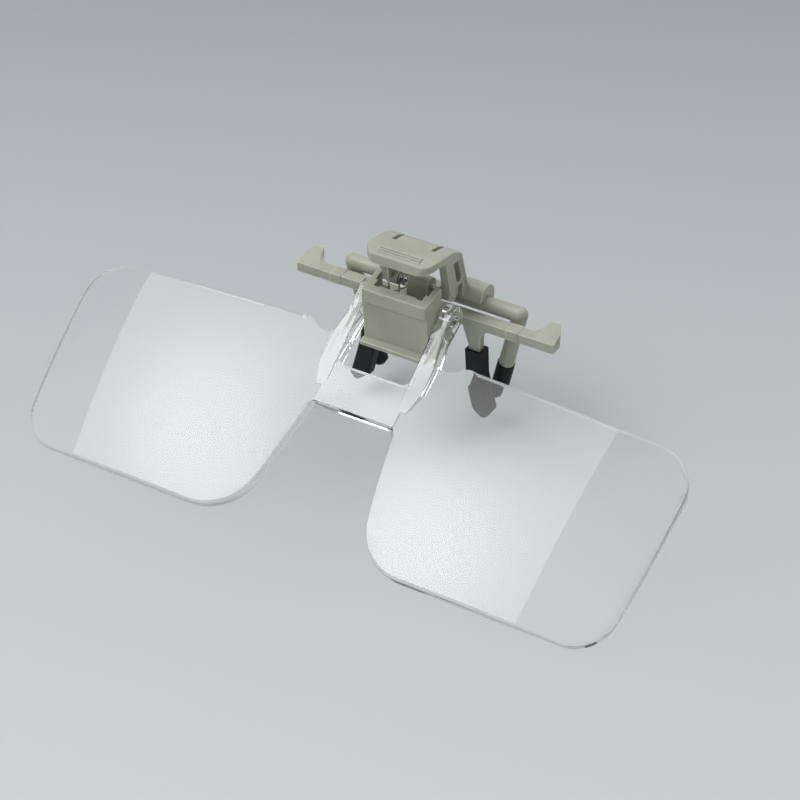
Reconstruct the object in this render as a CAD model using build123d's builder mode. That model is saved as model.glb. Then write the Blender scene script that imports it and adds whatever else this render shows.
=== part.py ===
from build123d import *
import math
import os

# A flip-up loupe that clips onto a pair of eyeglasses, in millimetres.
# X runs across the face, to the right as seen from the front. Y runs back towards the wearer. Z is up.
# The origin is the middle of the rear jaw's round bar, which lies behind the bridge of the eyeglasses.

os.makedirs("parts", exist_ok=True)

# Clearances that mating pieces share
push_fit = 0.05
running_fit = 0.04
side_gap = 0.2
overrun = 1.0

# Rear jaw: a round bar with two legs that lean inwards and a little back
rod_radius = 1.42
rod_half_span = 17.0
leg_drop = 20.9
leg_foot_x = 12.0
leg_foot_back = 0.8
leg_shoulder = 11.6
leg_core_radius = 0.95

# Rubber tips on the rear legs
tip_wall = 0.6
tip_end_wall = 1.0
tip_end_chamfer = 0.7
core_end_chamfer = 0.3

# Front bar with its two raised ends
bar_behind = 2.2
bar_depth = 2.5
bar_drop = 0.6
bar_height = 1.8
bar_half_length = 26.0
pad_reach = 9.2
pad_length = 2.2
pad_rise = 0.12
horn_reach = 5.2
horn_top_reach = 2.9
horn_tip_inset = 1.0
horn_back = 2.1
horn_rise = 1.6
horn_end_fall = 0.8
horn_curve_share = 0.62
horn_curve_rise_share = 0.3

# Front block: a tray open at the top and towards the back
block_half_width = 6.44
block_forward = 14.4
band_height = 5.8
band_depth = 2.5
band_step = 0.25
face_hollow = 0.75
face_hollow_share = 0.65
block_rear_forward = 9.0
block_rear_height = 6.9
gusset_height = 4.0
lip_forward = 14.55
lip_top_drop = 5.05
lip_thickness = 1.1
lip_round = 0.45
lip_ledge = 0.35
lip_overhang = 0.42
floor_rear_forward = 8.2
front_wall = 1.8
side_wall = 1.64
floor_wall = 1.4
relief_depth = 0.55
relief_forward = 11.4
relief_drop = 3.2
corner_notch = 1.1
corner_notch_depth = 0.55
edge_round = 0.35

# Hinge between the front block and the squeeze lever
hinge_forward = 4.8
hinge_height = 3.5
hinge_pin_radius = 0.6
hinge_pin_half_length = 6.0
post_half_width = 1.95
post_radius = 1.75
post_foot_depth = 0.9

# Axis on which the lens flips, and its pins
flip_forward = 8.9
flip_height = 1.3
flip_pin_radius = 0.8
flip_head_radius = 1.3
flip_head_thickness = 0.5
flip_boss_radius = 2.0

# Front legs and their rubber sleeves, right side, seen from the front
leg_inner_x = 8.2
leg_outer_x = 13.2
leg_thickness = 1.6
leg_setback = 0.85
neck_inner_x = 9.45
neck_outer_x = 11.65
neck_length = 3.8
neck_curve = 2.0
neck_curve_share = 0.3
sleeve_top_drop = 7.0
sleeve_upper = 5.0
sleeve_lower = 8.4
sleeve_end = 1.6
sleeve_corner = 0.9
sleeve_top_inner_x = 8.9
sleeve_top_outer_x = 12.35
sleeve_mid_inner_x = 9.2
sleeve_mid_outer_x = 12.55
sleeve_low_inner_x = 11.3
sleeve_low_outer_x = 14.8
sleeve_tip_x = 13.4
sleeve_wall = 0.62
sleeve_side_wall = 0.6
sleeve_chamfer = 0.3

# Squeeze lever: a roof plate on two side walls that end in saddles over the rear bar
lever_half_width = 6.95
lever_wall = 1.65
roof_thickness = 1.2
rim_depth = 1.4
skirt_thickness = 0.9
crest_height = 13.6
crest_forward = 10.9
brow_drop = 0.65
brow_forward = 13.35
skirt_drop = 2.2
skirt_forward = 13.8
slope_drop = 1.1
slope_forward = 5.4
tail_drop = 1.9
tail_forward = 3.8
roof_corner = 3.4
roof_round = 0.35
rib_radius = 0.2
rib_half_length = 4.2
rib_forward = 11.5
rib_spacing = 0.5
rib_count = 3
slot_x = 3.9
slot_width = 0.9
slot_forward = 7.6
slot_front_depth = 0.9
slot_rear_depth = 0.5
lever_wall_front_top = 8.3
lever_wall_front_low = 6.6
lever_wall_low_height = 4.2
lever_wall_rear_top = 2.9
lever_wall_rear_low = 0.6
lever_wall_rear_height = 3.3
lever_wall_heel_forward = 2.1
lever_wall_heel_height = 1.8
pocket_depth = 1.0
pocket_width = 1.8
pocket_top_height = 10.3
pocket_low_height = 5.6
pocket_top_forward = 5.1
pocket_low_forward = 3.9
foot_pocket_top_height = 4.9
foot_pocket_width = 2.8
flute_count = 3
flute_width = 0.16
flute_pitch = 0.34
flute_depth = 0.2
boss_radius = 1.45
boss_face_x = 4.15
boss_blind_wall = 0.5

# Saddles of the lever over the rear bar
saddle_radius = 2.45
saddle_centre_back = 0.2
saddle_centre_height = 1.2
saddle_inner_x = 5.8
saddle_outer_x = 10.4
saddle_front_lip_rise = 1.3
saddle_rear_lip_rise = 0.1

# Torsion spring round the hinge pin
wire_radius = 0.15
coil_radius = 1.15
coil_inner_x = 2.3
coil_outer_x = 3.85
coil_arcs = 8
coil_start_angle = 270.0
coil_turns = 1.75
coil_samples = 200
leg_rise_angle = 20.0
spring_corner_forward = 11.8
spring_corner_bend = 0.8
spring_top_forward = 12.3
spring_top_height = 11.3
spring_foot_drop = 0.55
spring_least_gap = 0.4

# Lens moulding: two lobes, a bridge and two ears. Drops are measured down the plate from the flip axis.
lens_tilt = 57.5
plate_thickness = 2.16
plate_front = 0.88
dome_radius = 320.0
dome_rise = 0.9
dome_centre_x = 34.2
dome_centre_drop = 27.2
lobe_outer_x = 60.2
lobe_outer_bulge_x = 59.45
lobe_outer_foot_x = 57.3
lobe_top_drop = 7.85
lobe_top_fall = 1.95
lobe_bottom_drop = 46.5
lobe_inner_x = 8.0
lobe_inner_bulge_x = 9.5
lobe_inner_foot_x = 12.7
lobe_bulge_drop = 31.5
lobe_corner = 7.5
lobe_inner_corner = 10.5
bridge_top_drop = 14.4
bridge_bottom_drop = 22.4
bridge_corner = 1.4
notch_inner_x = 10.1
notch_outer_x = 13.2
notch_rise_x = 15.8
notch_drop = 9.4
notch_round = 1.4
web_edge_x = 7.9
web_top_drop = 8.4
web_corner = 6.8
ear_thickness = 2.2
ear_radius = 2.4
ear_straight = 4.0
ear_flare_x = 10.2
ear_foot_drop = 19.0
ear_foot_x = 9.0
ear_foot_inset = 0.2
ear_rear_foot_drop = 15.0
ear_recess_radius = 1.5
ear_recess_depth = 0.6
ear_recess_length = 1.8
ear_panel_top_drop = 4.0
ear_panel_foot_drop = 8.9
ear_panel_top_width = 2.4
ear_panel_foot_width = 1.7

# Places that follow from the sizes above
bar_rear_y = -bar_behind
bar_front_y = bar_rear_y - bar_depth
bar_top_z = -bar_drop
band_foot_z = band_height - band_depth
bar_bottom_z = bar_top_z - bar_height
hinge_y = -hinge_forward
hinge_z = hinge_height
flip_y = -flip_forward
flip_z = flip_height
lip_top_z = -lip_top_drop
lip_bottom_z = lip_top_z - lip_thickness
floor_z = lip_bottom_z + floor_wall
brow_height = crest_height - brow_drop
skirt_height = crest_height - skirt_drop
slope_height = crest_height - slope_drop
tail_height = crest_height - tail_drop
horn_root_x = bar_half_length - horn_reach
horn_inner_x = bar_half_length - horn_top_reach
horn_outer_x = bar_half_length - horn_tip_inset
pad_inner_x = bar_half_length - pad_reach
sleeve_mid_z = -sleeve_top_drop - sleeve_upper
sleeve_low_z = sleeve_mid_z - sleeve_lower
neck_foot_z = -sleeve_top_drop - sleeve_wall - overrun
inner_half_width = block_half_width - side_wall
ear_inner_x = lever_half_width + side_gap
ear_outer_x = ear_inner_x + ear_thickness
leg_front_y = bar_rear_y - leg_setback - leg_thickness
tip_radius = leg_core_radius + push_fit + tip_wall

# Rear jaw, in the plane that holds the bar and both leaning legs
jaw_plane = Plane(origin=(0, 0, 0), x_dir=(1, 0, 0), z_dir=(0, -leg_drop, -leg_foot_back))
leg_reach = math.hypot(leg_drop, leg_foot_back)
leg_top = Vector(rod_half_span, 0)
leg_line = Vector(leg_foot_x, -leg_reach) - leg_top
leg_way = leg_line.normalized()
shoulder = leg_top + leg_way * leg_shoulder
core_length = leg_line.length - leg_shoulder - tip_end_wall
leg_plane = Plane(
    origin=jaw_plane.from_local_coords(shoulder),
    x_dir=jaw_plane.z_dir,
    z_dir=jaw_plane.from_local_coords(leg_way),
)

with BuildPart() as rear_jaw:
    with BuildSketch(Plane.YZ):
        Circle(rod_radius)
    extrude(amount=rod_half_span)
    with Locations((rod_half_span, 0, 0)):
        Sphere(rod_radius)
    with BuildSketch(leg_plane):
        Circle(rod_radius)
    extrude(amount=-leg_shoulder)
    # The thin core that the rubber tip is pushed onto
    with BuildSketch(leg_plane):
        Circle(leg_core_radius)
    extrude(amount=core_length)
    chamfer(rear_jaw.edges().sort_by(Axis.Z)[0], length=core_end_chamfer)
    mirror(about=Plane.YZ)
rear_jaw.part.label = "rear_jaw"
export_step(rear_jaw.part, "parts/rear_jaw.step")

# Rubber tip: a cap with a bevelled end
with BuildPart() as rear_tip_right:
    with BuildSketch(leg_plane):
        Circle(tip_radius)
    extrude(amount=core_length + tip_end_wall)
    chamfer(rear_tip_right.edges().sort_by(Axis.Z)[0], length=tip_end_chamfer)
    with BuildSketch(leg_plane):
        Circle(leg_core_radius + push_fit)
    extrude(amount=core_length + push_fit, mode=Mode.SUBTRACT)
with BuildPart() as rear_tip_left:
    add(mirror(rear_tip_right.part, about=Plane.YZ))
for side, tip in (("left", rear_tip_left), ("right", rear_tip_right)):
    tip.part.label = "rear_tip_" + side
    export_step(tip.part, "parts/rear_tip_" + side + ".step")

# Outline of a front sleeve, seen from the front: it leans outwards below its middle and has a round end
with BuildSketch() as sleeve_outline:
    with BuildLine():
        Polyline(
            (sleeve_low_inner_x, sleeve_low_z),
            (sleeve_mid_inner_x, sleeve_mid_z),
            (sleeve_top_inner_x, -sleeve_top_drop),
            (sleeve_top_outer_x, -sleeve_top_drop),
            (sleeve_mid_outer_x, sleeve_mid_z),
            (sleeve_low_outer_x, sleeve_low_z),
            (sleeve_tip_x, sleeve_low_z - sleeve_end),
            close=True,
        )
    make_face()
    fillet(sleeve_outline.vertices().sort_by(Axis.Y)[:3], radius=sleeve_corner)

leg_mid_y = leg_front_y + leg_thickness / 2
leg_mid_plane = Plane(origin=(0, leg_mid_y, 0), x_dir=(1, 0, 0), z_dir=(0, -1, 0))

# Horn at the end of the front bar: its outline from above, cut to its outlines from the front and the side
horn_curve_x = horn_root_x + (horn_inner_x - horn_root_x) * horn_curve_share
with BuildPart() as horn:
    with BuildSketch(Plane.XY.offset(bar_bottom_z)):
        with BuildLine():
            Line((horn_root_x, bar_front_y), (horn_root_x, bar_rear_y))
            ThreePointArc(
                (horn_root_x, bar_rear_y),
                (horn_curve_x, bar_rear_y + horn_back * horn_curve_rise_share),
                (horn_inner_x, bar_rear_y + horn_back),
            )
            Polyline(
                (horn_inner_x, bar_rear_y + horn_back),
                (horn_outer_x, bar_rear_y + horn_back),
                (bar_half_length, bar_rear_y),
                (bar_half_length, bar_front_y),
                (horn_root_x, bar_front_y),
            )
        make_face()
    extrude(amount=bar_height + horn_rise)
    with BuildSketch(Plane.XZ.offset(-bar_rear_y - horn_back)):
        with BuildLine():
            Line((horn_root_x, bar_bottom_z), (horn_root_x, bar_top_z))
            ThreePointArc(
                (horn_root_x, bar_top_z),
                (horn_curve_x, bar_top_z + horn_rise * horn_curve_rise_share),
                (horn_inner_x, bar_top_z + horn_rise),
            )
            Polyline(
                (horn_inner_x, bar_top_z + horn_rise),
                (horn_outer_x, bar_top_z + horn_rise),
                (bar_half_length, bar_top_z + horn_rise - horn_end_fall),
                (bar_half_length, bar_bottom_z),
                (horn_root_x, bar_bottom_z),
            )
        make_face()
    extrude(amount=bar_depth + horn_back, mode=Mode.INTERSECT)
    with BuildSketch(Plane.YZ.offset(horn_root_x)):
        with BuildLine():
            Polyline(
                (bar_front_y, bar_bottom_z),
                (bar_front_y, bar_top_z),
                (bar_rear_y + horn_back, bar_top_z + horn_rise),
                (bar_rear_y + horn_back, bar_bottom_z),
                close=True,
            )
        make_face()
    extrude(amount=horn_reach, mode=Mode.INTERSECT)

# Right half of the front body, from the middle plane outwards
with BuildPart() as body_half:
    # Side view of the block: banded front face, lip, sloping underside, gusset and raised rear top
    with BuildSketch(Plane.YZ) as side_view:
        with BuildLine():
            Polyline(
                (-block_forward + band_step, band_foot_z),
                (-block_forward, band_foot_z),
                (-block_forward, band_height),
                (-block_rear_forward, block_rear_height),
                (-block_rear_forward, gusset_height),
                (bar_front_y, bar_top_z),
                (bar_rear_y, bar_top_z),
                (bar_rear_y, bar_bottom_z),
                (bar_front_y, bar_bottom_z),
                (-floor_rear_forward, lip_bottom_z),
                (-lip_forward + lip_round, lip_bottom_z),
                (-lip_forward, lip_bottom_z + lip_round),
                (-lip_forward, lip_top_z),
                (-block_forward + band_step + face_hollow, lip_top_z + lip_ledge),
            )
            ThreePointArc(
                (-block_forward + band_step + face_hollow, lip_top_z + lip_ledge),
                (-block_forward + band_step + face_hollow * face_hollow_share,
                 (band_foot_z + lip_top_z) / 2),
                (-block_forward + band_step, band_foot_z),
            )
        make_face()
    extrude(amount=block_half_width)
    side_edges = body_half.faces().sort_by(Axis.X)[-1].edges().filter_by(
        lambda e: e.center().Z > band_foot_z + edge_round and e.center().Y < -block_rear_forward)
    brow_edge = body_half.edges().filter_by(Axis.X).sort_by(Axis.Z)[-2:].sort_by(Axis.Y)[0]
    fillet(side_edges + brow_edge, radius=edge_round)
    # Lip at the block's foot, a little wider than the block
    with BuildSketch(Plane.YZ):
        with BuildLine():
            Polyline(
                (-lip_forward + lip_round, lip_bottom_z),
                (-lip_forward, lip_bottom_z + lip_round),
                (-lip_forward, lip_top_z),
                (-block_forward + band_step + face_hollow, lip_top_z + lip_ledge),
                (-block_forward + front_wall, lip_bottom_z),
                close=True,
            )
        make_face()
    extrude(amount=block_half_width + lip_overhang)
    chamfer(body_half.faces().sort_by(Axis.X)[-1].edges(), length=lip_overhang / 2)
    # Hollow of the tray, open at the top and the back
    with BuildSketch(Plane.YZ):
        with BuildLine():
            Polyline(
                (-block_forward + front_wall, block_rear_height + overrun),
                (-block_forward + front_wall, floor_z),
                (-floor_rear_forward - floor_wall / 2, floor_z),
                (bar_front_y - floor_wall / 2, bar_top_z),
                (bar_rear_y + overrun, bar_top_z),
                (bar_rear_y + overrun, block_rear_height + overrun),
                close=True,
            )
        make_face()
    extrude(amount=inner_half_width, mode=Mode.SUBTRACT)
    # Thinner rear part of the side wall, and the small notch in the front corner
    with BuildSketch(Plane.XY.offset(block_rear_height)):
        with BuildLine():
            Polyline(
                (inner_half_width - overrun, -relief_forward),
                (inner_half_width + relief_depth, -relief_forward),
                (inner_half_width + relief_depth, -block_rear_forward + overrun),
                (inner_half_width - overrun, -block_rear_forward + overrun),
                close=True,
            )
        make_face()
    extrude(amount=-relief_drop, mode=Mode.SUBTRACT)
    with BuildSketch(Plane.XY.offset(block_rear_height)):
        with Locations((inner_half_width - corner_notch / 2, -block_forward + front_wall)):
            Rectangle(corner_notch, corner_notch_depth)
    extrude(amount=-relief_drop, mode=Mode.SUBTRACT)
    # Front bar, its shallow pad, and the horn
    with BuildSketch(Plane.YZ):
        with BuildLine():
            Polyline(
                (bar_front_y, bar_bottom_z),
                (bar_front_y, bar_top_z),
                (bar_rear_y, bar_top_z),
                (bar_rear_y, bar_bottom_z),
                close=True,
            )
        make_face()
    extrude(amount=bar_half_length)
    with BuildSketch(Plane.YZ.offset(pad_inner_x)):
        with BuildLine():
            Polyline(
                (bar_front_y - pad_rise, bar_bottom_z),
                (bar_front_y - pad_rise, bar_top_z + pad_rise),
                (bar_rear_y, bar_top_z + pad_rise),
                (bar_rear_y, bar_bottom_z),
                close=True,
            )
        make_face()
    extrude(amount=pad_length)
    add(horn.part)
    # Leg: a neck that narrows below the bar, then the core inside the rubber sleeve
    with BuildSketch(leg_mid_plane):
        with BuildLine():
            Polyline(
                (neck_outer_x, bar_bottom_z - neck_curve),
                (neck_outer_x, neck_foot_z),
                (neck_inner_x, neck_foot_z),
                (neck_inner_x, bar_bottom_z - neck_length),
                (leg_inner_x, bar_bottom_z),
                (leg_inner_x, bar_top_z),
                (leg_outer_x, bar_top_z),
                (leg_outer_x, bar_bottom_z),
            )
            ThreePointArc(
                (leg_outer_x, bar_bottom_z),
                (neck_outer_x + (leg_outer_x - neck_outer_x) * neck_curve_share,
                 bar_bottom_z - neck_curve / 2),
                (neck_outer_x, bar_bottom_z - neck_curve),
            )
        make_face()
    extrude(amount=leg_thickness / 2, both=True)
    with BuildSketch(leg_mid_plane):
        add(sleeve_outline.sketch)
        offset(amount=-sleeve_side_wall - push_fit, mode=Mode.REPLACE)
    extrude(amount=leg_thickness / 2, both=True)
    # Post that carries the hinge pin
    with BuildSketch(Plane.YZ):
        with Locations((hinge_y, hinge_z)):
            Circle(post_radius)
        with BuildLine():
            Polyline(
                (hinge_y - post_radius, hinge_z),
                (hinge_y - post_radius, bar_top_z - post_foot_depth),
                (bar_rear_y - post_foot_depth, bar_top_z - post_foot_depth),
                (hinge_y + post_radius, hinge_z),
                close=True,
            )
        make_face()
    extrude(amount=post_half_width)
    with BuildSketch(Plane.YZ):
        with Locations((hinge_y, hinge_z)):
            Circle(hinge_pin_radius + running_fit)
    extrude(amount=post_half_width, mode=Mode.SUBTRACT)
    # Boss on the side wall that the lens ear turns against, and the bore for its pin
    with BuildSketch(Plane.YZ.offset(block_half_width - side_wall / 2)):
        with Locations((flip_y, flip_z)):
            Circle(flip_boss_radius)
    extrude(amount=ear_inner_x - side_gap / 2 - block_half_width + side_wall / 2)
    with BuildSketch(Plane.YZ.offset(inner_half_width - overrun)):
        with Locations((flip_y, flip_z)):
            Circle(flip_pin_radius + push_fit)
    extrude(amount=ear_inner_x - inner_half_width + overrun, mode=Mode.SUBTRACT)

with BuildPart() as front_body:
    add(body_half.part)
    mirror(about=Plane.YZ)
front_body.part.label = "front_body"
export_step(front_body.part, "parts/front_body.step")

# Rubber sleeve: a closed sock over the flat leg
with BuildPart() as front_sleeve_right:
    with BuildSketch(leg_mid_plane):
        add(sleeve_outline.sketch)
    extrude(amount=leg_thickness / 2 + sleeve_wall + push_fit, both=True)
    chamfer(front_sleeve_right.faces().filter_by(Axis.Y).edges().filter_by(
        lambda e: e.center().Z < -sleeve_top_drop), length=sleeve_chamfer)
    with BuildSketch(leg_mid_plane):
        add(sleeve_outline.sketch)
        offset(amount=-sleeve_side_wall, mode=Mode.REPLACE)
    extrude(amount=leg_thickness / 2 + push_fit, both=True, mode=Mode.SUBTRACT)
    with BuildSketch(leg_mid_plane):
        with BuildLine():
            Polyline(
                (neck_inner_x - push_fit, -sleeve_top_drop + overrun),
                (neck_inner_x - push_fit, neck_foot_z - push_fit),
                (neck_outer_x + push_fit, neck_foot_z - push_fit),
                (neck_outer_x + push_fit, -sleeve_top_drop + overrun),
                close=True,
            )
        make_face()
    extrude(amount=leg_thickness / 2 + push_fit, both=True, mode=Mode.SUBTRACT)
with BuildPart() as front_sleeve_left:
    add(mirror(front_sleeve_right.part, about=Plane.YZ))
for side, sleeve in (("left", front_sleeve_left), ("right", front_sleeve_right)):
    sleeve.part.label = "front_sleeve_" + side
    export_step(sleeve.part, "parts/front_sleeve_" + side + ".step")

# Roof of the squeeze lever, right half: a plate with rounded front corners and a rim below its edges
with BuildPart() as roof:
    with BuildSketch(Plane.XY.offset(skirt_height - overrun)) as roof_outline:
        with Locations((0, -lever_wall_rear_top)):
            Rectangle(lever_half_width, skirt_forward - lever_wall_rear_top, align=(Align.MIN, Align.MAX))
        fillet(roof_outline.vertices().sort_by(Axis.Y)[:2].sort_by(Axis.X)[-1], radius=roof_corner)
    extrude(amount=crest_height - skirt_height + 2 * overrun)
    with BuildSketch(Plane.YZ):
        with BuildLine():
            Polyline(
                (-skirt_forward, skirt_height),
                (-brow_forward, brow_height),
                (-crest_forward, crest_height),
                (-slope_forward, slope_height),
                (-tail_forward, tail_height),
                (-lever_wall_rear_top, tail_height - roof_thickness / 2),
                (-lever_wall_rear_top, tail_height - rim_depth),
                (-slope_forward, slope_height - rim_depth),
                (-crest_forward, crest_height - rim_depth),
                close=True,
            )
        make_face()
    extrude(amount=lever_half_width, mode=Mode.INTERSECT)
    top_edges = roof.faces().filter_by(lambda f: f.normal_at().Z > abs(f.normal_at().Y)).edges()
    fillet(top_edges.filter_by(lambda e: e.center().X > lever_half_width - roof_corner)
           + top_edges.sort_by(Axis.Y)[0], radius=roof_round)

# Space under the roof, inside its rim
with BuildPart() as roof_space:
    with BuildSketch(Plane.XY.offset(skirt_height - overrun)) as space_outline:
        with Locations((0, -lever_wall_rear_top + overrun)):
            Rectangle(lever_half_width - skirt_thickness,
                      skirt_forward - skirt_thickness - lever_wall_rear_top + overrun,
                      align=(Align.MIN, Align.MAX))
        fillet(space_outline.vertices().sort_by(Axis.Y)[:2].sort_by(Axis.X)[-1],
               radius=roof_corner - skirt_thickness)
    extrude(amount=crest_height - skirt_height + 2 * overrun)
    with BuildSketch(Plane.YZ):
        with BuildLine():
            Polyline(
                (-skirt_forward, skirt_height - overrun),
                (-skirt_forward + skirt_thickness, skirt_height),
                (-brow_forward + skirt_thickness, brow_height - roof_thickness),
                (-crest_forward, crest_height - roof_thickness),
                (-slope_forward, slope_height - roof_thickness),
                (-lever_wall_rear_top + overrun, tail_height - roof_thickness),
                (-lever_wall_rear_top + overrun, skirt_height - overrun),
                close=True,
            )
        make_face()
    extrude(amount=lever_half_width, mode=Mode.INTERSECT)

# Squeeze lever, right half
with BuildPart() as lever_half:
    add(roof.part)
    add(roof_space.part, mode=Mode.SUBTRACT)
    # Side wall with its pocket and the flutes on its rear flange
    with BuildSketch(Plane.YZ.offset(lever_half_width - lever_wall)):
        with BuildLine():
            Polyline(
                (-lever_wall_front_top, slope_height - roof_thickness / 2),
                (-lever_wall_front_low, lever_wall_low_height),
                (-lever_wall_heel_forward, lever_wall_heel_height),
                (-lever_wall_rear_low, lever_wall_rear_height),
                (-lever_wall_rear_top, tail_height - roof_thickness / 2),
                close=True,
            )
        make_face()
    extrude(amount=lever_wall)
    with BuildSketch(Plane.YZ.offset(lever_half_width)):
        with BuildLine():
            Polyline(
                (-pocket_top_forward - pocket_width / 2, pocket_top_height),
                (-pocket_low_forward - pocket_width / 2, pocket_low_height + pocket_width / 2),
            )
            ThreePointArc(
                (-pocket_low_forward - pocket_width / 2, pocket_low_height + pocket_width / 2),
                (-pocket_low_forward, pocket_low_height),
                (-pocket_low_forward + pocket_width / 2, pocket_low_height + pocket_width / 2),
            )
            Polyline(
                (-pocket_low_forward + pocket_width / 2, pocket_low_height + pocket_width / 2),
                (-pocket_top_forward + pocket_width / 2, pocket_top_height),
                (-pocket_top_forward - pocket_width / 2, pocket_top_height),
            )
        make_face()
    extrude(amount=-pocket_depth, mode=Mode.SUBTRACT)
    for number in range(flute_count):
        inset = flute_pitch * (number + 1)
        with BuildSketch(Plane.YZ.offset(lever_half_width)):
            with BuildLine():
                Polyline(
                    (-lever_wall_rear_top - inset - flute_width, pocket_top_height),
                    (-lever_wall_rear_low - inset - flute_width, lever_wall_rear_height + flute_pitch),
                    (-lever_wall_rear_low - inset, lever_wall_rear_height + flute_pitch),
                    (-lever_wall_rear_top - inset, pocket_top_height),
                    close=True,
                )
            make_face()
        extrude(amount=-flute_depth, mode=Mode.SUBTRACT)
    # Open pocket at the wall's foot, below the U of the upper one
    with BuildSketch(Plane.YZ.offset(lever_half_width)):
        with Locations((-pocket_low_forward, foot_pocket_top_height)):
            Rectangle(foot_pocket_width, foot_pocket_top_height, align=(Align.CENTER, Align.MAX))
    extrude(amount=-pocket_depth, mode=Mode.SUBTRACT)
    # Saddle over the rear bar
    with BuildSketch(Plane.YZ.offset(saddle_inner_x)):
        with Locations((saddle_centre_back, saddle_centre_height)):
            Circle(saddle_radius)
        with BuildLine():
            Polyline(
                (saddle_centre_back - saddle_radius, saddle_front_lip_rise),
                (saddle_centre_back + saddle_radius, saddle_rear_lip_rise),
                (saddle_centre_back + saddle_radius, -saddle_radius),
                (saddle_centre_back - saddle_radius, -saddle_radius),
                close=True,
            )
        make_face(mode=Mode.SUBTRACT)
    extrude(amount=saddle_outer_x - saddle_inner_x)
    with BuildSketch(Plane.YZ.offset(lever_half_width - lever_wall - overrun)):
        Circle(rod_radius + push_fit)
        Rectangle(2 * (rod_radius + push_fit), saddle_radius + overrun, align=(Align.CENTER, Align.MAX))
    extrude(amount=saddle_outer_x + overrun, mode=Mode.SUBTRACT)
    # Boss with a blind bore for the hinge pin
    with BuildSketch(Plane.YZ.offset(boss_face_x)):
        with Locations((hinge_y, hinge_z)):
            Circle(boss_radius)
    extrude(amount=lever_half_width - boss_blind_wall - boss_face_x)
    with BuildSketch(Plane.YZ):
        with Locations((hinge_y, hinge_z)):
            Circle(hinge_pin_radius + push_fit)
    extrude(amount=hinge_pin_half_length + push_fit, mode=Mode.SUBTRACT)
    # Grip ribs on the front of the roof, and the groove that runs out at its rear edge
    brow_slope = (crest_height - brow_height) / (brow_forward - crest_forward)
    for number in range(rib_count):
        forward = rib_forward + rib_spacing * number
        with BuildSketch(Plane.YZ):
            with Locations((-forward, brow_height + brow_slope * (brow_forward - forward))):
                Circle(rib_radius)
        extrude(amount=rib_half_length)
    roof_fall = (crest_height - slope_height) / (crest_forward - slope_forward)
    with BuildSketch(Plane.YZ.offset(slot_x - slot_width / 2)):
        with BuildLine():
            Polyline(
                (-slot_forward, crest_height + overrun),
                (-slot_forward,
                 slope_height + roof_fall * (slot_forward - slope_forward) - slot_front_depth),
                (-tail_forward, tail_height - slot_rear_depth),
                (-lever_wall_rear_top + overrun, tail_height - slot_rear_depth),
                (-lever_wall_rear_top + overrun, crest_height + overrun),
                close=True,
            )
        make_face()
    extrude(amount=slot_width, mode=Mode.SUBTRACT)

with BuildPart() as squeeze_lever:
    add(lever_half.part)
    mirror(about=Plane.YZ)
squeeze_lever.part.label = "squeeze_lever"
export_step(squeeze_lever.part, "parts/squeeze_lever.step")

# Hinge pin, pressed into the lever and free to turn in the post
with BuildPart() as hinge_pin:
    with BuildSketch(Plane.YZ):
        with Locations((hinge_y, hinge_z)):
            Circle(hinge_pin_radius)
    extrude(amount=hinge_pin_half_length, both=True)
hinge_pin.part.label = "hinge_pin"
export_step(hinge_pin.part, "parts/hinge_pin.step")

# Lens pivot pins: a round shank with a flat head in the ear's recess
with BuildPart() as lens_pivot_pin_right:
    with BuildSketch(Plane.YZ.offset(inner_half_width)):
        with Locations((flip_y, flip_z)):
            Circle(flip_pin_radius)
    extrude(amount=ear_outer_x - ear_recess_depth - inner_half_width + push_fit)
    with BuildSketch(Plane.YZ.offset(ear_outer_x - ear_recess_depth + push_fit)):
        with Locations((flip_y, flip_z)):
            Circle(flip_head_radius)
    extrude(amount=flip_head_thickness)
with BuildPart() as lens_pivot_pin_left:
    add(mirror(lens_pivot_pin_right.part, about=Plane.YZ))
for side, pin in (("left", lens_pivot_pin_left), ("right", lens_pivot_pin_right)):
    pin.part.label = "lens_pivot_pin_" + side
    export_step(pin.part, "parts/lens_pivot_pin_" + side + ".step")


def coil_point(turn_share):
    """Place and direction on the spring's coil, from its inner end (0) to its outer end (1)."""
    start_angle = math.radians(coil_start_angle - leg_rise_angle)
    sweep_angle = math.radians(360 * coil_turns + leg_rise_angle)
    angle = start_angle + sweep_angle * turn_share
    run = coil_outer_x - coil_inner_x
    place = Vector(
        -coil_inner_x - run * turn_share,
        hinge_y + coil_radius * math.cos(angle),
        hinge_z + coil_radius * math.sin(angle),
    )
    way = Vector(
        -run,
        -coil_radius * sweep_angle * math.sin(angle),
        coil_radius * sweep_angle * math.cos(angle),
    )
    return place, way.normalized()


def biarc(start, start_way, end, end_way):
    """Two arcs that meet smoothly between two places with given directions."""
    chord = end - start
    both = start_way + end_way
    a = 2 * (1 - start_way.dot(end_way))
    b = 2 * chord.dot(both)
    c = -chord.dot(chord)
    reach = (-b + math.sqrt(b * b - 4 * a * c)) / (2 * a)
    first_corner = start + start_way * reach
    second_corner = end - end_way * reach
    middle = (first_corner + second_corner) / 2
    TangentArc(start, middle, tangent=start_way)
    TangentArc(middle, end, tangent=second_corner - first_corner)


# Torsion spring: an upright leg behind the skirt, a run back to the coil, the coil, and a foot on the floor
coil_start, start_way = coil_point(0)
coil_end, end_way = coil_point(1)
flat_way = Vector(0, math.cos(math.radians(leg_rise_angle)), -math.sin(math.radians(leg_rise_angle)))
corner_run = (spring_corner_forward + coil_start.Y) / flat_way.Y
spring_corner = coil_start - flat_way * corner_run
spring_top = Vector(coil_start.X, -spring_top_forward, spring_top_height)
spring_foot = Vector(coil_end.X, coil_end.Y, bar_top_z - spring_foot_drop + wire_radius)

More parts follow.
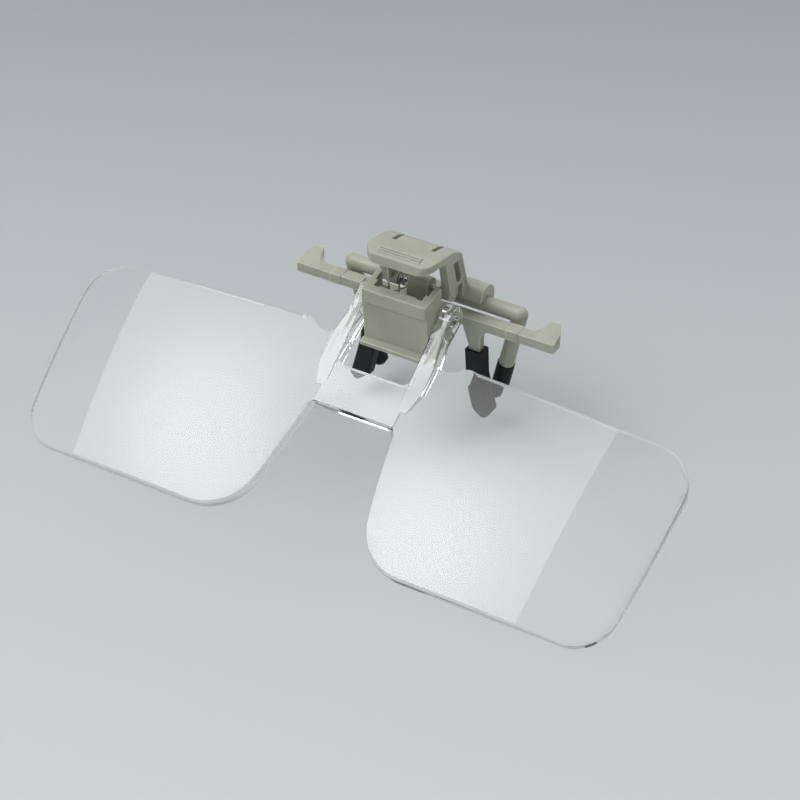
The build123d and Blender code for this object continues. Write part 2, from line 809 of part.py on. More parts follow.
with BuildPart() as torsion_spring:
    with BuildLine() as spring_path:
        FilletPolyline(spring_top, spring_corner, coil_start, radius=spring_corner_bend)
        for number in range(coil_arcs):
            first, first_way = coil_point(number / coil_arcs)
            last, last_way = coil_point((number + 1) / coil_arcs)
            biarc(first, first_way, last, last_way)
        Line(coil_end, spring_foot)
    with BuildSketch(spring_path.line ^ 0):
        Circle(wire_radius)
    sweep(path=spring_path.line)
torsion_spring.part.label = "torsion_spring"
export_step(torsion_spring.part, "parts/torsion_spring.step")

# Least gap between the turns of the spring's wire
spring_points = [coil_point(number / coil_samples)[0] for number in range(coil_samples + 1)]
half_turn = int(coil_samples / coil_turns / 2)
least_gap = min(
    (spring_points[first] - spring_points[last]).length
    for first in range(coil_samples + 1)
    for last in range(first + half_turn, coil_samples + 1)
) - 2 * wire_radius
print("spring: least gap between turns", round(least_gap, 3), "mm, wanted over", spring_least_gap)

# Lens plate planes: one in the plate through the flip axis, one across it
tilt = math.radians(lens_tilt)
plate_plane = Plane(
    origin=(0, flip_y, flip_z),
    x_dir=(1, 0, 0),
    z_dir=(0, -math.cos(tilt), math.sin(tilt)),
)
across_plane = Plane(
    origin=(0, flip_y, flip_z),
    x_dir=(0, -math.sin(tilt), -math.cos(tilt)),
    z_dir=(1, 0, 0),
)
back_offset = plate_front - plate_thickness


def corner_near(sketch, x, y):
    """The corner of an outline that lies nearest to a place."""
    return min(sketch.vertices(), key=lambda v: math.hypot(v.X - x, v.Y - y))


# Half outline of the plate: bridge, root of the ear, notch, lobe
with BuildSketch() as plate_outline:
    with BuildLine():
        Polyline(
            (0, -bridge_bottom_drop),
            (0, -bridge_top_drop),
            (ear_inner_x, -bridge_top_drop),
            (ear_inner_x, -lobe_top_drop),
            (notch_inner_x, -lobe_top_drop),
            (notch_inner_x, -notch_drop),
            (notch_outer_x, -notch_drop),
            (notch_rise_x, -lobe_top_drop),
            (lobe_outer_x, -lobe_top_drop - lobe_top_fall),
        )
        ThreePointArc(
            (lobe_outer_x, -lobe_top_drop - lobe_top_fall),
            (lobe_outer_bulge_x, -dome_centre_drop),
            (lobe_outer_foot_x, -lobe_bottom_drop),
        )
        Line((lobe_outer_foot_x, -lobe_bottom_drop), (lobe_inner_foot_x, -lobe_bottom_drop))
        ThreePointArc(
            (lobe_inner_foot_x, -lobe_bottom_drop),
            (lobe_inner_bulge_x, -lobe_bulge_drop),
            (lobe_inner_x, -bridge_bottom_drop),
        )
        Line((lobe_inner_x, -bridge_bottom_drop), (0, -bridge_bottom_drop))
    make_face()
    fillet(plate_outline.vertices().sort_by(Axis.X)[-2:], radius=lobe_corner)
    fillet(corner_near(plate_outline, lobe_inner_foot_x, -lobe_bottom_drop), radius=lobe_inner_corner)
    fillet(corner_near(plate_outline, notch_inner_x, -notch_drop), radius=notch_round)
    fillet(corner_near(plate_outline, notch_outer_x, -notch_drop), radius=notch_round)
    fillet(corner_near(plate_outline, notch_rise_x, -lobe_top_drop), radius=notch_round)
    fillet(corner_near(plate_outline, ear_inner_x, -bridge_top_drop), radius=bridge_corner)
    fillet(corner_near(plate_outline, lobe_inner_x, -bridge_bottom_drop), radius=bridge_corner)

# Outline of the flat web, as far as the dome's rounded inner corner
with BuildSketch() as web_outline:
    with BuildLine():
        Polyline(
            (web_edge_x, -web_top_drop - web_corner),
            (web_edge_x, -bridge_bottom_drop),
            (0, -bridge_bottom_drop),
            (0, -lobe_top_drop),
            (web_edge_x + web_corner, -lobe_top_drop),
            (web_edge_x + web_corner, -web_top_drop),
        )
        RadiusArc(
            (web_edge_x + web_corner, -web_top_drop),
            (web_edge_x, -web_top_drop - web_corner),
            radius=-web_corner,
        )
    make_face()

with BuildPart() as lens_half:
    # Lobe: flat behind and slightly domed in front
    with BuildSketch(plate_plane.offset(back_offset)):
        add(plate_outline.sketch)
    extrude(amount=plate_thickness + dome_rise + overrun)
    sphere_centre = plate_plane.from_local_coords(
        (dome_centre_x, -dome_centre_drop, plate_front + dome_rise - dome_radius))
    with Locations(sphere_centre):
        Sphere(dome_radius, mode=Mode.INTERSECT)
    # Flat web between the bridge, the ear and the rounded inner corner of the dome
    with BuildSketch(plate_plane.offset(back_offset)):
        add(plate_outline.sketch)
        add(web_outline.sketch, mode=Mode.INTERSECT)
    extrude(amount=plate_thickness)

# Ear: its outline in the plate, cut to its tapering side view
with BuildPart() as ear:
    with BuildSketch(plate_plane.offset(-ear_radius - overrun)):
        with BuildLine():
            Polyline(
                (ear_inner_x, ear_radius + overrun),
                (ear_outer_x, ear_radius + overrun),
                (ear_outer_x, -ear_straight),
                (ear_flare_x, -notch_drop),
                (ear_flare_x, -ear_rear_foot_drop),
                (ear_foot_x, -ear_foot_drop),
                (ear_inner_x + ear_foot_inset, -ear_foot_drop),
                (ear_inner_x, -bridge_top_drop),
                close=True,
            )
        make_face()
    extrude(amount=2 * (ear_radius + overrun))
    with BuildSketch(across_plane):
        Circle(ear_radius)
        with BuildLine():
            Polyline(
                (0, -ear_radius),
                (ear_foot_drop, -plate_front),
                (ear_foot_drop, -back_offset),
                (ear_rear_foot_drop, -back_offset),
                (0, ear_radius),
                close=True,
            )
        make_face()
    extrude(amount=ear_flare_x + overrun, mode=Mode.INTERSECT)

with BuildPart() as lens_moulding:
    add(lens_half.part)
    add(ear.part)
    # U-shaped recess in the outer face of the ear, and the bore for its pin
    with BuildSketch(across_plane.offset(ear_outer_x - ear_recess_depth)):
        Circle(ear_recess_radius)
        Rectangle(ear_recess_length, 2 * ear_recess_radius, align=(Align.MIN, Align.CENTER))
    extrude(amount=ear_recess_depth + overrun, mode=Mode.SUBTRACT)
    # Long tapering panel below the recess, with a floor parallel to the ear's inner face
    with BuildSketch(across_plane.offset(ear_outer_x - ear_recess_depth)):
        with BuildLine():
            Polyline(
                (ear_panel_top_drop, -ear_panel_top_width / 2),
                (ear_panel_top_drop, ear_panel_top_width / 2),
                (ear_panel_foot_drop, ear_panel_foot_width / 2),
                (ear_panel_foot_drop, -ear_panel_foot_width / 2),
                close=True,
            )
        make_face()
    extrude(amount=ear_flare_x - ear_outer_x + ear_recess_depth + overrun, mode=Mode.SUBTRACT)
    with BuildSketch(across_plane):
        Circle(flip_pin_radius + running_fit)
    extrude(amount=ear_outer_x + overrun, mode=Mode.SUBTRACT)
    mirror(about=Plane.YZ)
lens_moulding.part.label = "lens_moulding"
export_step(lens_moulding.part, "parts/lens_moulding.step")

for name in sorted(os.listdir("parts")):
    print("written", name)
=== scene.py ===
# %% [markdown]
# # A clip-on flip-up loupe
#
# This lesson dresses a small optical aid. A clear acrylic moulding with two lobes hangs on a grey
# moulded clip. The clip has a hollow block, a squeeze lever over a thin wire spring, a round rear
# bar, and rubber on its four legs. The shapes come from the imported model. We give them finishes,
# then add what a solid model leaves out.

import math

import bmesh
import bpy
from mathutils import Euler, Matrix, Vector


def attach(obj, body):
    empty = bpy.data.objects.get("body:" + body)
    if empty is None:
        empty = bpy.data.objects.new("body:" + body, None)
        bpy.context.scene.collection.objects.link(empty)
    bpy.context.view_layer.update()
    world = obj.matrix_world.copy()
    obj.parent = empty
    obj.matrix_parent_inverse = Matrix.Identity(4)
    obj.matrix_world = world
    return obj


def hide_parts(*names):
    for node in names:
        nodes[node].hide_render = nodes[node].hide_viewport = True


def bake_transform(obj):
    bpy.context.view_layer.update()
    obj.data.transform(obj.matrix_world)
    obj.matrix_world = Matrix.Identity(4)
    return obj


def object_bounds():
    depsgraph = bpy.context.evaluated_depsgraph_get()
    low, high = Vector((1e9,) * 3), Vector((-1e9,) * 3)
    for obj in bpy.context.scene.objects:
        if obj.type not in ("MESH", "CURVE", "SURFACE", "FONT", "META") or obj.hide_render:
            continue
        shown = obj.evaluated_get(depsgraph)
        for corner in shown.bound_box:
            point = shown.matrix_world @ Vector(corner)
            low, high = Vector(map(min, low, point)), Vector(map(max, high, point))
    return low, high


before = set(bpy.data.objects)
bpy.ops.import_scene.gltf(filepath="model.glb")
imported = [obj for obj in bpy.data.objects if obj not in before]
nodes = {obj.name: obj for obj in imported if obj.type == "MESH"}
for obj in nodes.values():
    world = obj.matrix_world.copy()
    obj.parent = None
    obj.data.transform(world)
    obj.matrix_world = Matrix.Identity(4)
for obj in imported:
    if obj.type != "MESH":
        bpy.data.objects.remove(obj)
cad_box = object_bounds()
print("pieces:", ", ".join(sorted(nodes)))

# %% [markdown]
# ## Camera
#
# The camera stands in front of the loupe, a little to its right, and looks down on it. A long lens
# keeps the near lobe and the far lobe almost the same size. It could also be aimed with a Track To
# constraint, but plain angles stay as they are when the model changes.

# %% Camera
MM = 0.001
camera_place = Vector((177.6, -305.3, 232.3)) * MM
camera_azimuth = math.radians(31.22)
camera_elevation = math.radians(36.02)
camera_roll = math.radians(-0.39)
sensor_width = 36.0
focal_length = 108.0
nearest_seen = 10 * MM

camera_data = bpy.data.cameras.new("camera")
camera_data.sensor_width = sensor_width
camera_data.lens = focal_length
camera_data.clip_start = nearest_seen
camera = bpy.data.objects.new("camera", camera_data)
bpy.context.scene.collection.objects.link(camera)
camera.location = camera_place
turn = Euler((math.pi / 2 - camera_elevation, 0, camera_azimuth))
turn.rotate_axis("Z", camera_roll)
camera.rotation_euler = turn
bpy.context.scene.camera = camera
print("camera stands", round(camera_place.length, 3), "m from the loupe")

# %% [markdown]
# ## Floor
#
# Clear plastic shows little of its own. What we see in it is the floor behind it and the lamps
# above it, so the floor is part of the look. A large plane is enough. It lies just under the
# lowest point of the part.

# %% Floor
floor_gap = 0.2 * MM
floor_half = 3.0

bpy.ops.object.select_all(action="DESELECT")
bpy.ops.mesh.primitive_plane_add(
    size=2 * floor_half, location=(0, 0, cad_box[0][2] - floor_gap)
)
floor = bpy.context.object
floor.name = "floor"
print("floor at z", round(floor.location.z / MM, 2), "mm")

# %% [markdown]
# ## Helpers for finishes
#
# Every finish is a small tree of nodes. In the shader editor we would drag the nodes in and wire
# them up by hand. Here a few helpers do that: one adds a node, one feeds a socket, and the others
# make the groups of nodes that each finish needs again.

# %% Helpers for finishes
def new_finish(name):
    """A new node material, its tree and its surface shader."""
    finish = bpy.data.materials.new(name)
    finish.use_nodes = True
    return finish, finish.node_tree, finish.node_tree.nodes["Principled BSDF"]


def node(tree, kind, **values):
    """A node of that kind. Names in values are its properties, or else its input sockets."""
    made = tree.nodes.new("ShaderNode" + kind)
    for name, value in values.items():
        if hasattr(made, name):
            setattr(made, name, value)
        else:
            made.inputs[name.replace("_", " ")].default_value = value
    return made


def feed(tree, side, given):
    """Gives an input socket another node's output to read, or else a value of its own."""
    if isinstance(given, bpy.types.NodeSocket):
        tree.links.new(given, side)
    else:
        side.default_value = given


def maths(tree, operation, first, second, kind="Math", result="Value"):
    """What an operation makes of two sides, each an output or a value."""
    made = node(tree, kind, operation=operation)
    feed(tree, made.inputs[0], first)
    feed(tree, made.inputs[1], second)
    return made.outputs[result]


def spread(tree, value, low, high, to_low=0.0, to_high=1.0, way="LINEAR"):
    """Moves a value from one range to another. Beyond its ends it stays at the end."""
    made = node(tree, "MapRange", interpolation_type=way, From_Min=low, From_Max=high)
    made.inputs["To Min"].default_value = to_low
    made.inputs["To Max"].default_value = to_high
    tree.links.new(value, made.inputs["Value"])
    return made.outputs[0]


def noise(tree, scale, detail):
    """A soft noise that is fixed to the piece."""
    place = node(tree, "TexCoord")
    made = node(tree, "TexNoise", Scale=scale, Detail=detail)
    tree.links.new(place.outputs["Object"], made.inputs["Vector"])
    return made.outputs["Fac"]


def between(tree, amount, first, last, first_at=0.0, last_at=1.0):
    """A colour that runs from the first to the last one as the amount grows."""
    made = node(tree, "ValToRGB")
    start, end = made.color_ramp.elements
    start.position, end.position = first_at, last_at
    start.color, end.color = (*first, 1), (*last, 1)
    tree.links.new(amount, made.inputs["Fac"])
    return made.outputs["Color"]


def bump(tree, shader, height, strength, depth, over=None):
    """Lets a height ruffle the shader's surface, on top of another normal if one is given."""
    made = node(tree, "Bump", Strength=strength, Distance=depth)
    tree.links.new(height, made.inputs["Height"])
    if over:
        tree.links.new(over, made.inputs["Normal"])
    tree.links.new(made.outputs["Normal"], shader.inputs["Normal"])


print("helpers are ready")

# %% [markdown]
# ## Paper finish of the floor, with painted shade
#
# The floor is matt and pale. Its colour darkens gently towards the back, as painted shade for light
# that falls off. A lamp near the front could do that, but it would also change the light on the
# part.
# So the colour itself fades, along the way the camera looks. A fine noise gives the fibres.

# %% Paper with painted shade
near_floor = -120 * MM
far_floor = 160 * MM
near_colour = (0.625, 0.637, 0.632)
# painted shade: the far end of the floor is given a darker colour
painted_far_shade = (0.335, 0.355, 0.372)
back_way = (-math.sin(camera_azimuth), math.cos(camera_azimuth), 0)

paper, tree, shader = new_finish("paper")
place = node(tree, "TexCoord").outputs["Object"]
depth = maths(tree, "DOT_PRODUCT", place, back_way, kind="VectorMath")
# painted shade: the colour fades towards the back, in place of light falling off
painted_falloff = spread(tree, depth, near_floor, far_floor)
feed(tree, shader.inputs["Base Color"], between(tree, painted_falloff, near_colour, painted_far_shade))
bump(tree, shader, noise(tree, scale=900.0, detail=4.0), strength=0.05, depth=0.05 * MM)
shader.inputs["Roughness"].default_value = 0.7
shader.inputs["Specular IOR Level"].default_value = 0.1
floor.data.materials.append(paper)
print("the floor fades over", round((far_floor - near_floor) / MM), "mm")

# %% [markdown]
# ## Softbox
#
# The sheen low in each lobe is the reflection of a long softbox that hangs above, to the left and
# a little in front. Each lobe shows one of its long edges, as a slanting line. A real softbox is
# brightest in front of its bulb, so the strength grows towards a core near the middle. An area
# lamp knows where on its face the light leaves, from 0 to 1 along both sides, and we turn that
# into metres.

# %% Softbox
softbox_place = Vector((-339, -255, 600)) * MM
softbox_width = 0.365
softbox_length = 0.9
softbox_turn = math.radians(-9.3)
softbox_level = 2.4
softbox_core = 4.1
core_aside = 0.008
core_forward = 0.024
core_reach = 0.22


def new_lamp(name, shape, place, width):
    """An area lamp at that place, its light data and the nodes of its light."""
    data = bpy.data.lights.new(name, "AREA")
    data.shape = shape
    data.size = width
    data.use_nodes = True
    lamp = bpy.data.objects.new(name, data)
    bpy.context.scene.collection.objects.link(lamp)
    lamp.location = place
    return lamp, data, data.node_tree


softbox, data, tree = new_lamp("softbox", "RECTANGLE", softbox_place, softbox_width)
data.size_y = softbox_length
data.energy = math.pi * softbox_width * softbox_length
softbox.rotation_euler = (0, 0, softbox_turn)
spot = node(tree, "NewGeometry").outputs["Parametric"]
face = (softbox_width, softbox_length, 0)
core = (softbox_width / 2 + core_aside, softbox_length / 2 - core_forward, 0)
metres = maths(tree, "MULTIPLY", spot, face, kind="VectorMath", result="Vector")
away = maths(tree, "DISTANCE", metres, core, kind="VectorMath")
brightest = softbox_level + softbox_core
glow = spread(tree, away, core_reach, 0.0, softbox_level, brightest, way="SMOOTHERSTEP")
feed(tree, tree.nodes["Emission"].inputs["Strength"], glow)
print("softbox is", round(brightest / softbox_level, 1), "times as bright at its core")

# %% [markdown]
# ## Top lamp and sky
#
# A second soft lamp stands high behind the loupe, where the lobes don't mirror it to the camera.
# It brightens the top faces of the clip. The sky gives the rest. It is a little brighter around
# the softbox, like the wall of a light tent, so that the lobes are never quite dark.

# %% Top lamp and sky
top_lamp_place = Vector((180, 560, 680)) * MM
top_lamp_width = 0.9
top_lamp_power = 2.7
sky_colour = (0.82, 0.84, 0.86, 1)
sky_level = 0.48
sky_glow = 1.3
glow_way = Vector((-0.41, -0.50, 0.76)).normalized()
glow_starts = 0.90
glow_full = 0.98

top_lamp, data, tree = new_lamp("top_lamp", "DISK", top_lamp_place, top_lamp_width)
data.energy = top_lamp_power
top_lamp.rotation_euler = (-top_lamp_place).to_track_quat("-Z", "Y").to_euler()

sky = bpy.data.worlds.new("sky")
sky.use_nodes = True
tree = sky.node_tree
background = tree.nodes["Background"]
background.inputs["Color"].default_value = sky_colour
way = node(tree, "TexCoord").outputs["Generated"]
nearness = maths(tree, "DOT_PRODUCT", way, glow_way, kind="VectorMath")
bright_sky = sky_level + sky_glow
haze = spread(tree, nearness, glow_starts, glow_full, sky_level, bright_sky, way="SMOOTHSTEP")
feed(tree, background.inputs["Strength"], haze)
bpy.context.scene.world = sky
bpy.context.scene.view_settings.view_transform = "Standard"
print("lamps:", len(bpy.data.lights))

# %% [markdown]
# ## Clear acrylic
#
# The lobes are moulded in one piece and polished. Acrylic bends light a little less than glass
# does. A Glass shader could do it, but the Principled one with full transmission looks the same
# and keeps its colour and gloss when the model is exported. Real mouldings are never quite even,
# so a broad noise varies the tint by a little.

# %% Tint and gloss of the acrylic
ACRYLIC_IOR = 1.49
thin_tint = (0.978, 0.986, 0.986)
clear_tint = (0.990, 0.992, 0.990)

acrylic, acrylic_tree, acrylic_shader = new_finish("clear acrylic")
tint = between(acrylic_tree, noise(acrylic_tree, 60.0, 3.0), thin_tint, clear_tint)
feed(acrylic_tree, acrylic_shader.inputs["Base Color"], tint)
acrylic_shader.inputs["Transmission Weight"].default_value = 1.0
acrylic_shader.inputs["IOR"].default_value = ACRYLIC_IOR
acrylic_shader.inputs["Roughness"].default_value = 0.0
print("clear acrylic bends light by", ACRYLIC_IOR)

# %% [markdown]
# ## One mirror in each lobe
#
# A polished plate mirrors a lamp twice, on its front face and again on its back face. Here the
# second image would fill the part of the lobe that ought to stay clear, so it is left out: on its
# way out of a big face, light at a small angle just passes. The big faces are found by their
# normals, which lie along the plate's own normal. The rims keep the full shader.

# %% One mirror in each lobe
LENS_TILT = math.radians(57.5)
flat_from = 0.95
flat_full = 0.98
mostly_mirrored = 0.5

tree = acrylic_tree
up_plate = node(
    tree, "VectorTransform", vector_type="NORMAL", convert_from="OBJECT", convert_to="WORLD"
)
up_plate.inputs[0].default_value = (0, -math.cos(LENS_TILT), math.sin(LENS_TILT))
own = node(tree, "NewGeometry").outputs
agree = maths(tree, "DOT_PRODUCT", own["Normal"], up_plate.outputs[0], kind="VectorMath")
flatness = spread(tree, maths(tree, "ABSOLUTE", agree, 0.0), flat_from, flat_full)
mirrored = node(tree, "Fresnel", IOR=ACRYLIC_IOR).outputs[0]
passing = maths(tree, "LESS_THAN", mirrored, mostly_mirrored)
leaving = maths(tree, "MULTIPLY", own["Backfacing"], passing)
plain_pass = node(tree, "BsdfRefraction", IOR=ACRYLIC_IOR, Roughness=0.0)
one_mirror = node(tree, "MixShader")
feed(tree, one_mirror.inputs[0], maths(tree, "MULTIPLY", leaving, flatness))
feed(tree, one_mirror.inputs[1], acrylic_shader.outputs[0])
feed(tree, one_mirror.inputs[2], plain_pass.outputs[0])
print("clear acrylic has", len(tree.nodes), "nodes")

# %% [markdown]
# ## Light through the acrylic
#
# A true caustic takes thousands of samples. A see-through shader stands in for the acrylic when
# the light on its way to the floor is traced, so the lamps shine through it. It also stands in for
# light that stays trapped between the faces, which would otherwise turn the edges black.

# %% Light through the acrylic
let_through = (0.98, 0.985, 0.985, 1)
trapped_after = 4.5

path = node(tree, "LightPath").outputs
lights_things = maths(tree, "MAXIMUM", path["Is Shadow Ray"], path["Is Diffuse Ray"])
trapped = maths(tree, "GREATER_THAN", path["Ray Depth"], trapped_after)
see_through = node(tree, "BsdfTransparent", Color=let_through)
surface = node(tree, "MixShader")
feed(tree, surface.inputs[0], maths(tree, "MAXIMUM", lights_things, trapped))
feed(tree, surface.inputs[1], one_mirror.outputs[0])
feed(tree, surface.inputs[2], see_through.outputs[0])
feed(tree, tree.nodes["Material Output"].inputs["Surface"], surface.outputs[0])
print("light counts as trapped after", int(trapped_after), "bounces")

# %% [markdown]
# ## Grey moulded plastic
#
# The clip is satin plastic with a slight green. Two noises do the work: a broad one drifts the
# colour, as pigment does in a mould, and a fine one gives the grain of the mould's face. A Bevel
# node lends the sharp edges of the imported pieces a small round, without a single new face.

# %% Grey moulded plastic
dark_pigment = (0.358, 0.362, 0.282)
light_pigment = (0.420, 0.424, 0.338)
mould_round = 0.3 * MM

plastic, tree, shader = new_finish("grey plastic")
pigment = between(tree, noise(tree, 180.0, 4.0), dark_pigment, light_pigment, 0.3, 0.7)
rounded = node(tree, "Bevel", samples=6, Radius=mould_round).outputs["Normal"]
grain = noise(tree, scale=9000.0, detail=2.0)
bump(tree, shader, grain, strength=0.12, depth=0.02 * MM, over=rounded)
shader.inputs["Roughness"].default_value = 0.36
shader.inputs["Subsurface Weight"].default_value = 0.1
shader.inputs["Subsurface Radius"].default_value = (1.0, 1.0, 0.8)
shader.inputs["Subsurface Scale"].default_value = 0.5 * MM
print("mould round", mould_round / MM, "mm")

# %% [markdown]
# ## Worn edges with painted highlights, and painted shade in crannies
#
# The outer edges of such a moulding look lighter, partly from wear and partly from the highlight on
# their round, which is painted into the colour here. The rounded normal leaves the flat one only
# near an edge, so the gap between the two finds the edges. Ambient occlusion tells the outer edges
# from the crannies, and darkens the crannies a little: that darkening is painted shade.

# %% Worn edges with painted highlights, painted shade in crannies
# the lighter edge colour is partly wear and partly painted highlight; the shade level is painted
# shade for crannies
wear_and_highlight_colour = (0.74, 0.74, 0.63, 1)
no_edge = 0.99
full_edge = 0.88
cranny_reach = 1.2 * MM
painted_shade_level = 0.72


def mixed(tree, way, share, first, second):
    """Two colours mixed. Each of the three is an output or a value."""
    made = node(tree, "Mix", data_type="RGBA", blend_type=way)
    for name, given in (("Factor", share), ("A", first), ("B", second)):
        feed(tree, made.inputs[name], given)
    return made.outputs["Result"]


flat = node(tree, "NewGeometry").outputs["True Normal"]
agree = maths(tree, "DOT_PRODUCT", rounded, flat, kind="VectorMath")
edge = spread(tree, agree, no_edge, full_edge)
open_air = node(tree, "AmbientOcclusion", samples=6, Distance=cranny_reach).outputs["AO"]
wear_and_highlight = maths(tree, "MULTIPLY", edge, spread(tree, open_air, 0.62, 0.9))
# painted highlight, partly wear: outer edges take a lighter colour
edge_wear_and_highlight = mixed(tree, "MIX", wear_and_highlight, pigment, wear_and_highlight_colour)
# painted shade: crannies found by ambient occlusion are darkened
painted_cranny_shade = spread(tree, open_air, 0.15, 0.75, to_low=painted_shade_level)
feed(tree, shader.inputs["Base Color"], mixed(tree, "MULTIPLY", 1.0, edge_wear_and_highlight, painted_cranny_shade))
print("grey plastic has", len(tree.nodes), "nodes")

# %% [markdown]
# ## Black rubber
#
# The sleeves and tips are soft rubber, dark and matt, with a dusty bloom. A picture could carry
# the dust, but noises need no file and have no seams. A fine one breaks the surface up, and a
# broader one carries the bloom.

# %% Black rubber
bare_rubber = (0.006, 0.006, 0.007)
dusty_rubber = (0.018, 0.018, 0.020)

rubber, tree, shader = new_finish("black rubber")
bloom = between(tree, noise(tree, 500.0, 5.0), bare_rubber, dusty_rubber)
feed(tree, shader.inputs["Base Color"], bloom)
bump(tree, shader, noise(tree, scale=6000.0, detail=3.0), strength=0.3, depth=0.03 * MM)
shader.inputs["Roughness"].default_value = 0.6
shader.inputs["Specular IOR Level"].default_value = 0.3
print("black rubber has", len(tree.nodes), "nodes")

# %% [markdown]
# ## Steel wire and pins
#
# Drawn wire has fine lines along it. On something this thin they only blur the highlight, so a
# noise in the roughness is enough.

# %% Steel
steel_colour = (0.56, 0.56, 0.54, 1)
least_blur = 0.22
most_blur = 0.42

steel, tree, shader = new_finish("steel")
lines = noise(tree, scale=3000.0, detail=2.0)
feed(tree, shader.inputs["Roughness"], spread(tree, lines, 0.0, 1.0, least_blur, most_blur))
shader.inputs["Base Color"].default_value = steel_colour
shader.inputs["Metallic"].default_value = 1.0
print("steel has", len(tree.nodes), "nodes")

# %% [markdown]
# ## Copies of imported pieces
#
# A imported piece's mesh is loose triangles. Before it can be bevelled, its points have to be merged
# and its flat faces made whole again. We work on a copy, so that the imported piece itself stays as
# it is.

# %% Copy a imported piece
merge_reach = 0.001 * MM
flat_angle = math.radians(0.2)


def packed_copy(name):
    """An object with its own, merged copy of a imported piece's mesh."""
    copy = bpy.data.objects.new(name + "_rounded", nodes[name].data.copy())
    bpy.context.scene.collection.objects.link(copy)
    bpy.ops.object.select_all(action="DESELECT")
    copy.select_set(True)
    bpy.context.view_layer.objects.active = copy
    bpy.ops.mesh.customdata_custom_splitnormals_clear()
    bpy.ops.object.mode_set(mode="EDIT")
    bpy.ops.mesh.select_all(action="SELECT")
    bpy.ops.mesh.remove_doubles(threshold=merge_reach)
    bpy.ops.mesh.dissolve_limited(angle_limit=flat_angle)
    bpy.ops.object.mode_set(mode="OBJECT")
    print(copy.name, "has", len(copy.data.polygons), "faces")
    return copy


lens = packed_copy("lens_moulding")

# %% [markdown]
# ## Where the lens is rounded
#
# A clear moulding shows its edges more than its faces, and a real one has no sharp edge. The rim
# of the lobes and the lower edge of the bridge get one round, and the ears a smaller one. The web
# between ear and lobe stays sharp, because its faces are too small for a round. So the lobes are
# cut across where their round starts, and the round ends there cleanly.

# %% Where the lens is rounded
flip_axis = Vector((0, -8.9, 1.3)) * MM
down_plate = Vector((0, -math.sin(LENS_TILT), -math.cos(LENS_TILT)))
lobe_top_start = 17.5
bridge_low = 21.0
ear_low = 7.6
ear_outside = 9.9
ear_hole = 2.2


def in_plate(place):
    """How far a place lies to the side and how far down the plate, in millimetres."""
    return abs(place.x) / MM, (place - flip_axis).dot(down_plate) / MM


def on_rim(place):
    """Whether a place is on the rim of a lobe or on the lower edge of the bridge."""
    aside, down = in_plate(place)
    return aside > lobe_top_start or down > bridge_low


def on_ear(place):
    """Whether a place is on the outline of an ear, and not on the hole for its pin."""
    aside, down = in_plate(place)
    off_pin = (place - flip_axis).yz.length
    return down < ear_low and aside < ear_outside and off_pin > ear_hole * MM


def cut_across(obj, aside):
    """Cuts the faces of an object along an upright plane at that distance from the middle."""
    bpy.ops.object.mode_set(mode="EDIT")
    bpy.ops.mesh.select_all(action="SELECT")
    bpy.ops.mesh.bisect(plane_co=(aside, 0, 0), plane_no=(1, 0, 0))
    bpy.ops.object.mode_set(mode="OBJECT")


cut_across(lens, lobe_top_start * MM)
cut_across(lens, -lobe_top_start * MM)
print("lens is cut at", lobe_top_start, "mm on both sides")

# %% [markdown]
# ## Rounds on the lens
#
# The Bevel operator works on selected edges. We select in code what a hand would pick: the sharp
# edges that stick out and that lie in the right place.

# %% Rounds on the lens
rim_round = 0.55 * MM
ear_round = 0.22 * MM
rim_steps = 4
ear_steps = 2
sharp_angle = math.radians(40)


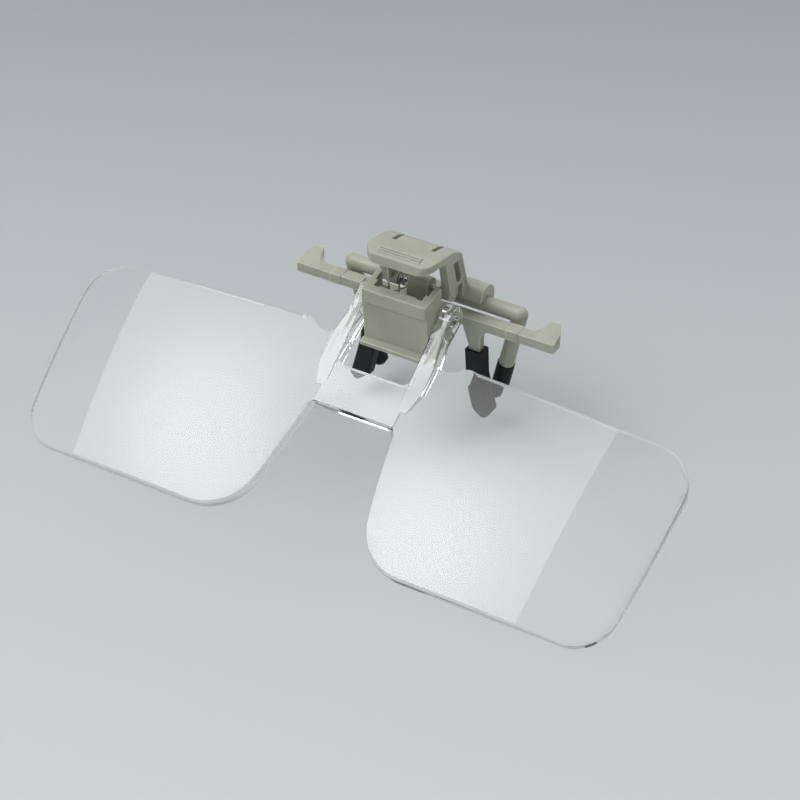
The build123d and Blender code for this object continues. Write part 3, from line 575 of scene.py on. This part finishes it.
def round_edges(obj, wanted, width, steps):
    """Rounds those sharp edges that stick out and whose middle is wanted."""
    bpy.ops.object.mode_set(mode="EDIT")
    bpy.ops.mesh.select_mode(type="EDGE")
    bpy.ops.mesh.select_all(action="DESELECT")
    shape = bmesh.from_edit_mesh(obj.data)
    count = 0
    for edge in shape.edges:
        middle = (edge.verts[0].co + edge.verts[1].co) / 2
        sharp = edge.is_manifold and edge.calc_face_angle_signed() > sharp_angle
        if sharp and wanted(middle):
            edge.select_set(True)
            count += 1
    bmesh.update_edit_mesh(obj.data)
    bpy.ops.mesh.bevel(
        offset=width, segments=steps, profile=0.5, clamp_overlap=False, harden_normals=False
    )
    bpy.ops.object.mode_set(mode="OBJECT")
    print(obj.name, "rounded", count, "edges")


round_edges(lens, on_rim, rim_round, rim_steps)
round_edges(lens, on_ear, ear_round, ear_steps)

# %% [markdown]
# ## Smooth faces on the lens
#
# Shading smooth by angle joins the round to the faces beside it. On its own that would bend the
# reflections near the rim. The Weighted Normal modifier lets the big faces keep their own normals,
# and the round takes all the turn.

# %% Smooth faces on the lens
lens_smooth_angle = math.radians(35)

bpy.ops.object.shade_smooth_by_angle(angle=lens_smooth_angle)
evener = lens.modifiers.new("even", "WEIGHTED_NORMAL")
evener.mode = "FACE_AREA"
evener.weight = 100
evener.keep_sharp = True
bpy.ops.object.modifier_apply(modifier=evener.name)
lens.data.materials.clear()
lens.data.materials.append(acrylic)
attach(lens, "lens")
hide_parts("lens_moulding")
print("lens has", len(lens.data.polygons), "faces")

# %% [markdown]
# ## Torsion spring
#
# The torsion spring winds round the hinge pin. Its foot stands in the block, and its long arm
# presses up under the lever, so it belongs to two moving bodies at once. A solid model can only
# ride on one of them. Two bones could bend it. Here we only copy the wire, shade it smooth and give
# it the steel finish; it is bound to no body, so its arm does not turn with the lever.

# %% Torsion spring
wire_smooth_angle = math.radians(60)

spring = packed_copy("torsion_spring")
bpy.ops.object.shade_smooth_by_angle(angle=wire_smooth_angle)
spring.data.materials.clear()
spring.data.materials.append(steel)
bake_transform(spring)
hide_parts("torsion_spring")

# %% [markdown]
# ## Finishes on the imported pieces
#
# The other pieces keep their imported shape, which is already right, and only change their finish.
# A material slot on the object is set, so that the mesh itself stays as it was.

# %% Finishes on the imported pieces
finish_of = {
    "lens_pivot_pin_left": acrylic,
    "lens_pivot_pin_right": acrylic,
    "front_body": plastic,
    "squeeze_lever": plastic,
    "rear_jaw": plastic,
    "front_sleeve_left": rubber,
    "front_sleeve_right": rubber,
    "rear_tip_left": rubber,
    "rear_tip_right": rubber,
    "hinge_pin": steel,
}
for name, finish in finish_of.items():
    for slot in nodes[name].material_slots:
        slot.material = finish
print("dressed", len(finish_of), "pieces")
